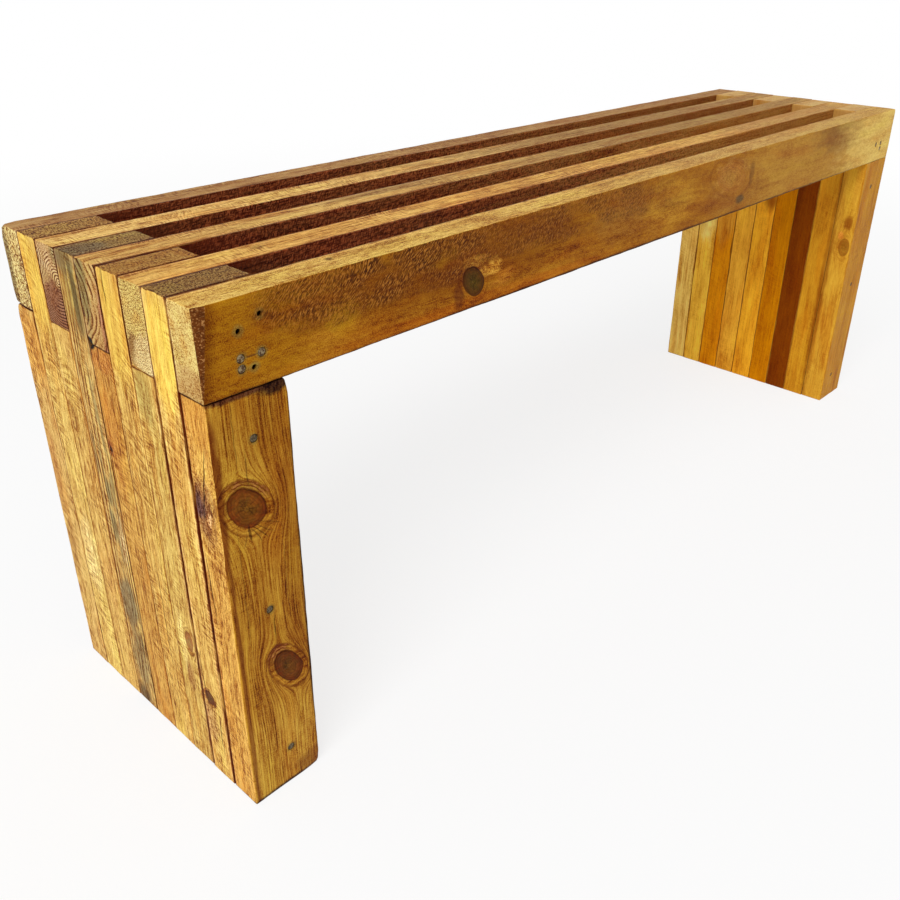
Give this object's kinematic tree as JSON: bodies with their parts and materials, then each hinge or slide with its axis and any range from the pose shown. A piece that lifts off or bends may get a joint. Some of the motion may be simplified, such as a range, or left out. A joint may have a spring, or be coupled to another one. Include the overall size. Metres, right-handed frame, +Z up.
{
  "type": "slatted bench",
  "caption": "Backless outdoor bench of amber stained boards on edge, laminated face to face, with open slots between the seat slats and a solid slab leg at each end.",
  "frame": {"origin": "on the floor, under the middle of the bench", "axes": "+X along the bench from its left to its right end as seen from the front, +Y from the front to the back, +Z up"},
  "size_m": [1.29, 0.3166, 0.495],
  "materials": {
    "amber_pine": "deep amber oiled softwood, blotchy, with darker grain",
    "honey_pine": "honey oiled softwood",
    "golden_pine": "golden yellow oiled softwood",
    "straw_pine": "pale straw oiled softwood",
    "umber_pine": "greyish brown weathered softwood under oil",
    "orange_pine": "orange brown oiled softwood",
    "russet_pine": "dark red brown oiled softwood",
    "weathered_pine": "grey to olive streaked softwood under oil",
    "nail_steel": "dull grey nail, set just below the face"
  },
  "bodies": {
    "root": {"seat_slat_1": "amber_pine", "seat_slat_2": "honey_pine", "seat_slat_3": "golden_pine", "seat_slat_4": "straw_pine", "seat_slat_5": "umber_pine", "left_leg_short_1": "honey_pine", "left_leg_short_2": "straw_pine", "left_leg_short_3": "orange_pine", "left_leg_short_4": "golden_pine", "left_leg_short_5": "orange_pine", "right_leg_short_1": "golden_pine", "right_leg_short_2": "russet_pine", "right_leg_short_3": "honey_pine", "right_leg_short_4": "amber_pine", "right_leg_short_5": "honey_pine", "left_leg_tall_1": "golden_pine", "left_leg_tall_2": "golden_pine", "left_leg_tall_3": "weathered_pine", "left_leg_tall_4": "golden_pine", "right_leg_tall_1": "honey_pine", "right_leg_tall_2": "orange_pine", "right_leg_tall_3": "golden_pine", "right_leg_tall_4": "golden_pine", "left_face_nails": "nail_steel", "left_lap_nails": "nail_steel", "left_leg_nails": "nail_steel", "right_face_nails": "nail_steel", "right_lap_nails": "nail_steel", "right_leg_nails": "nail_steel"}
  },
  "joints": []
}
